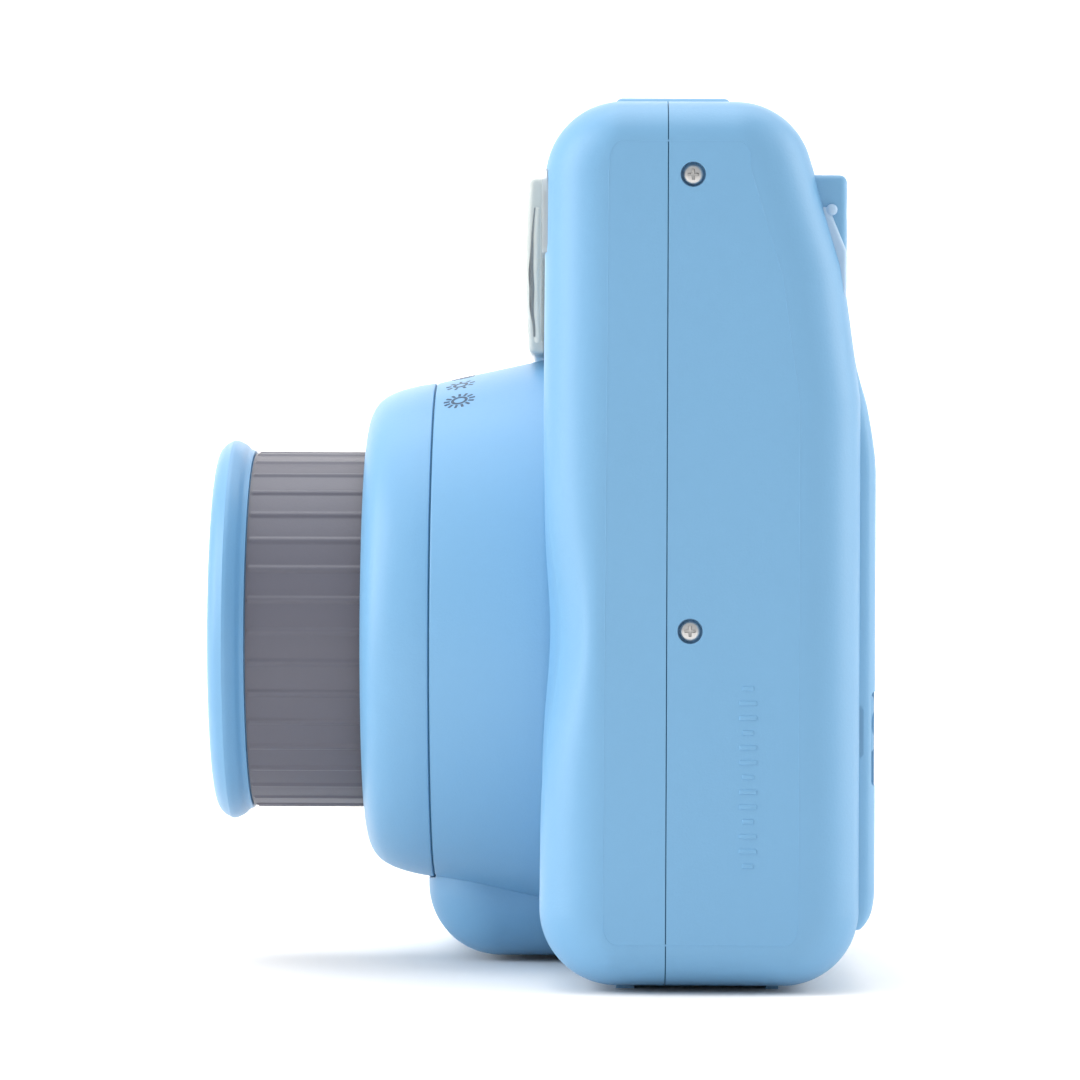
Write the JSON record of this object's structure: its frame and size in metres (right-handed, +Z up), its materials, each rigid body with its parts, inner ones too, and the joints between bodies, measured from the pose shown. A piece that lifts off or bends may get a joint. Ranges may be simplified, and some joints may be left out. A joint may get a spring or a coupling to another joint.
{
  "type": "instant camera",
  "caption": "Boxy instant film camera with an extending ribbed lens barrel, brightness dial, flash, viewfinder, hinged film door and film exit slot on top.",
  "frame": {"origin": "middle of the footprint at table height, lens extended", "axes": "+Z up, -Y is the way the lens looks, +X is the viewer's left, the hand grip is on the -X side"},
  "size_m": [0.116, 0.0894, 0.118],
  "materials": {
    "case_blue": "satin moulded ABS, fine grain",
    "barrel_grey": "satin grey plastic with raised ridges",
    "dark_plastic": "matt black plastic",
    "clear_plastic": "clear polycarbonate",
    "lens_glass": "coated optical plastic",
    "smoked_plastic": "dark smoked window",
    "mirror": "mirror",
    "steel": "zinc-plated steel",
    "gear_plastic": "natural acetal",
    "brass": "turned brass",
    "copper_coil": "enamelled copper winding",
    "board_green": "solder mask",
    "cell_wrap": "printed sleeve"
  },
  "bodies": {
    "camera_body": {"front_cover": "case_blue", "rear_cover": "case_blue", "battery_tray": "dark_plastic", "battery_cells": "cell_wrap", "battery_contacts": "steel", "door_hinge_pin": "steel", "counter_window": "clear_plastic", "lens_tube": "dark_plastic", "light_baffle": "dark_plastic", "shutter_spring": "steel", "lens_button_spring": "steel", "lens_springs": "steel", "flash_window": "clear_plastic", "flash_reflector": "mirror", "flash_tube": "lens_glass", "flash_capacitor": "dark_plastic", "finder_window": "clear_plastic", "finder_tunnel": "dark_plastic", "finder_lens": "clear_plastic", "eyepiece_hood": "case_blue", "sensor_window": "smoked_plastic", "circuit_board": "board_green", "film_frame": "dark_plastic", "film_pack": "dark_plastic", "drive_motor": "steel", "slot_hood": "case_blue", "strap_bar": "steel", "case_screws": "steel", "rest_feet": "case_blue"},
    "lens": {"lens_barrel": "barrel_grey", "lens_flange": "case_blue", "lens_bezel": "dark_plastic", "front_lens": "lens_glass", "selfie_mirror": "mirror", "lens_board": "dark_plastic", "rear_lens": "lens_glass", "shutter_solenoid": "copper_coil"},
    "aperture": {"aperture_wheel": "dark_plastic"},
    "shutter": {"shutter_blade": "dark_plastic"},
    "dial": {"dial_ring": "case_blue"},
    "battery_lid": {"battery_door": "case_blue"},
    "back_door": {"film_door": "case_blue", "film_window": "clear_plastic", "pressure_pads": "dark_plastic", "latch_spring": "steel"},
    "latch": {"door_latch": "case_blue"},
    "release_button": {"shutter_button": "case_blue"},
    "lens_release": {"lens_button": "case_blue"},
    "counter": {"counter_disc": "gear_plastic"},
    "pick": {"pick_arm": "steel"},
    "feed_roller": {"drive_roller": "steel", "roller_gear": "gear_plastic"},
    "pinch_roller": {"press_roller": "steel", "pressure_gear": "gear_plastic"},
    "idler": {"idler_gear": "gear_plastic"},
    "motor_shaft": {"motor_pinion": "brass"},
    "exit_flap": {"slot_flap": "dark_plastic"}
  },
  "joints": [
    {"name": "lens_slide", "type": "slide", "parent": "camera_body", "child": "lens", "axis": [0, 1, 0], "range_m": [0, 0.0209], "stiffness_N_per_m": 60, "springref_m": -0.01, "deforming": ["lens_springs"]},
    {"name": "aperture_turn", "type": "hinge", "parent": "lens", "child": "aperture", "pos_m": [0, -0.029, 0.0372], "axis": [0, 1, 0], "range_deg": [-60, 60]},
    {"name": "shutter_swing", "type": "hinge", "parent": "lens", "child": "shutter", "pos_m": [0.012, -0.028, 0.0462], "axis": [0, 1, 0], "range_deg": [0, 35], "stiffness_Nm_per_rad": 0.001, "springref_deg": -11.46},
    {"name": "dial_turn", "type": "hinge", "parent": "camera_body", "child": "dial", "pos_m": [0, -0.019, 0.0462], "axis": [0, 1, 0], "range_deg": [-30, 30]},
    {"name": "battery_door_slide", "type": "slide", "parent": "camera_body", "child": "battery_lid", "axis": [-1, 0, 0], "range_m": [0, 0.025]},
    {"name": "film_door_hinge", "type": "hinge", "parent": "camera_body", "child": "back_door", "pos_m": [-0.0402, 0.0423, 0.049], "axis": [0, 0, 1], "range_deg": [0, 100]},
    {"name": "latch_slide", "type": "slide", "parent": "back_door", "child": "latch", "axis": [0, 0, -1], "range_m": [0, 0.004], "stiffness_N_per_m": 150, "springref_m": -0.003, "deforming": ["latch_spring"]},
    {"name": "shutter_press", "type": "slide", "parent": "camera_body", "child": "release_button", "axis": [0, 1, 0], "range_m": [0, 0.0015], "stiffness_N_per_m": 600, "springref_m": -0.001, "deforming": ["shutter_spring"]},
    {"name": "lens_release_press", "type": "slide", "parent": "camera_body", "child": "lens_release", "axis": [0, 1, 0], "range_m": [0, 0.0015], "stiffness_N_per_m": 600, "springref_m": -0.001, "deforming": ["lens_button_spring"]},
    {"name": "counter_turn", "type": "hinge", "parent": "camera_body", "child": "counter", "pos_m": [-0.047, 0.0363, 0.024], "axis": [0, 1, 0], "range_deg": [0, 330]},
    {"name": "pick_slide", "type": "slide", "parent": "camera_body", "child": "pick", "axis": [0, 0, 1], "range_m": [0, 0.008], "stiffness_N_per_m": 10},
    {"name": "feed_spin", "type": "hinge", "parent": "camera_body", "child": "feed_roller", "pos_m": [0, 0.0184, 0.104], "axis": [1, 0, 0], "continuous": true},
    {"name": "pinch_spin", "type": "hinge", "parent": "camera_body", "child": "pinch_roller", "pos_m": [0, 0.0246, 0.104], "axis": [1, 0, 0], "continuous": true},
    {"name": "idler_spin", "type": "hinge", "parent": "camera_body", "child": "idler", "pos_m": [-0.037, 0.024, 0.09117], "axis": [1, 0, 0], "continuous": true},
    {"name": "motor_spin", "type": "hinge", "parent": "camera_body", "child": "motor_shaft", "pos_m": [-0.038, 0.02811, 0.08151], "axis": [1, 0, 0], "continuous": true},
    {"name": "flap_swing", "type": "hinge", "parent": "camera_body", "child": "exit_flap", "pos_m": [0, 0.0244, 0.1146], "axis": [-1, 0, 0], "range_deg": [0, 30], "stiffness_Nm_per_rad": 0.002, "springref_deg": -17.19}
  ],
  "couplings": [
    {"joint": "aperture_turn", "follows": "dial_turn", "ratio": 2},
    {"joint": "pinch_spin", "follows": "feed_spin", "ratio": -1},
    {"joint": "idler_spin", "follows": "feed_spin", "ratio": -0.75},
    {"joint": "motor_spin", "follows": "feed_spin", "ratio": 2.4}
  ]
}
